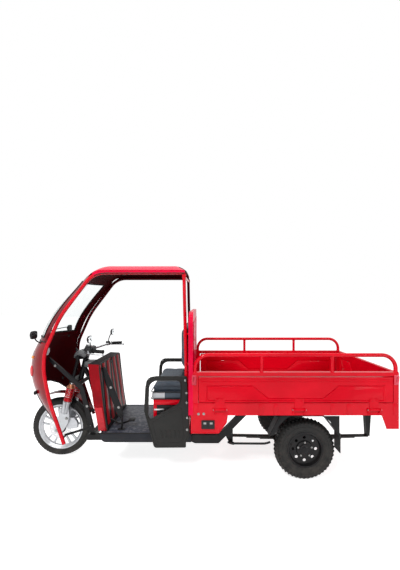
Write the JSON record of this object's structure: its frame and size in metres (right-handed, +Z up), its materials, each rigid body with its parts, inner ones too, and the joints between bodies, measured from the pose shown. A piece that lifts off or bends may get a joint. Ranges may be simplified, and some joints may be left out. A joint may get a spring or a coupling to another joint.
{
  "type": "electric cargo tricycle",
  "caption": "Three-wheeled electric cargo vehicle with a roofed driver's cab, a sprung steering fork and a drop-side load bed over the rear wheels.",
  "frame": {"origin": "on the floor under the middle of the vehicle's box", "axes": "+X forward, +Y to the vehicle's left, +Z up"},
  "size_m": [3.553, 1.242, 2.005],
  "materials": {
    "red": "gloss",
    "dark_red": "gloss",
    "black_steel": "satin",
    "black_plastic": "matte",
    "tyre": "matte",
    "alloy": "satin",
    "chrome": "polished",
    "steel": "satin",
    "seat": "satin",
    "rubber": "matte",
    "glass": "clear",
    "lamp": "clear",
    "red_lens": "gloss",
    "red_plastic": "gloss",
    "mat": "matte",
    "spring_red": "gloss"
  },
  "bodies": {
    "chassis": {"frame_rails": "black_steel", "cross_members": "black_steel", "neck_frame": "black_steel", "cab_struts": "black_steel", "floor_board": "mat", "leg_shield": "red_plastic", "seat_box": "red", "battery_pack": "black_plastic", "seat_cushion": "seat", "backrest": "seat", "seat_guards": "black_plastic", "cab_pillars": "red", "rear_posts": "red", "roof_panel": "red", "windshield_frame": "dark_red", "windshield": "glass", "front_fairing": "red_plastic", "headlamp": "lamp", "bed_floor": "red", "headboard": "red", "side_rail_left": "red", "side_rail_right": "red", "hinge_leaves": "red", "front_skirts": "red", "mudguards": "black_steel", "mud_flaps": "rubber", "tail_panel": "red", "tail_lamps": "red_lens", "leaf_springs": "black_steel", "rear_axle": "black_steel"},
    "steering": {"fork_crown": "black_steel", "fork_sliders": "alloy", "fork_springs": "spring_red", "front_fender": "dark_red", "handlebar": "chrome", "grips": "rubber", "instrument_pod": "black_plastic", "mirrors": "black_plastic", "brake_caliper": "alloy"},
    "front_wheel": {"front_tyre": "tyre", "front_rim": "alloy", "brake_disc": "steel"},
    "rear_wheel_left": {"rear_tyre_left": "tyre", "rear_rim_left": "black_steel"},
    "rear_wheel_right": {"rear_tyre_right": "tyre", "rear_rim_right": "black_steel"},
    "board_left": {"side_board_left": "red"},
    "board_right": {"side_board_right": "red"},
    "tail_board": {"tailgate": "red"}
  },
  "joints": [
    {"name": "steer", "type": "hinge", "parent": "chassis", "child": "steering", "pos_m": [1.25, 0, 0.85], "axis": [-0.2419, 0, 0.9703], "range_deg": [-40, 40]},
    {"name": "front_wheel_spin", "type": "hinge", "parent": "steering", "child": "front_wheel", "pos_m": [1.459, 0, 0.306], "axis": [0, 1, 0], "continuous": true},
    {"name": "rear_left_spin", "type": "hinge", "parent": "chassis", "child": "rear_wheel_left", "pos_m": [-0.986, 0.4375, 0.277], "axis": [0, 1, 0], "continuous": true},
    {"name": "rear_right_spin", "type": "hinge", "parent": "chassis", "child": "rear_wheel_right", "pos_m": [-0.986, -0.4375, 0.277], "axis": [0, 1, 0], "continuous": true},
    {"name": "left_board_drop", "type": "hinge", "parent": "chassis", "child": "board_left", "pos_m": [-0.8655, 0.612, 0.69], "axis": [-1, 0, 0], "range_deg": [0, 178]},
    {"name": "right_board_drop", "type": "hinge", "parent": "chassis", "child": "board_right", "pos_m": [-0.8655, -0.612, 0.69], "axis": [1, 0, 0], "range_deg": [0, 178]},
    {"name": "tailgate_drop", "type": "hinge", "parent": "chassis", "child": "tail_board", "pos_m": [-1.779, 0, 0.69], "axis": [0, -1, 0], "range_deg": [0, 178]}
  ]
}
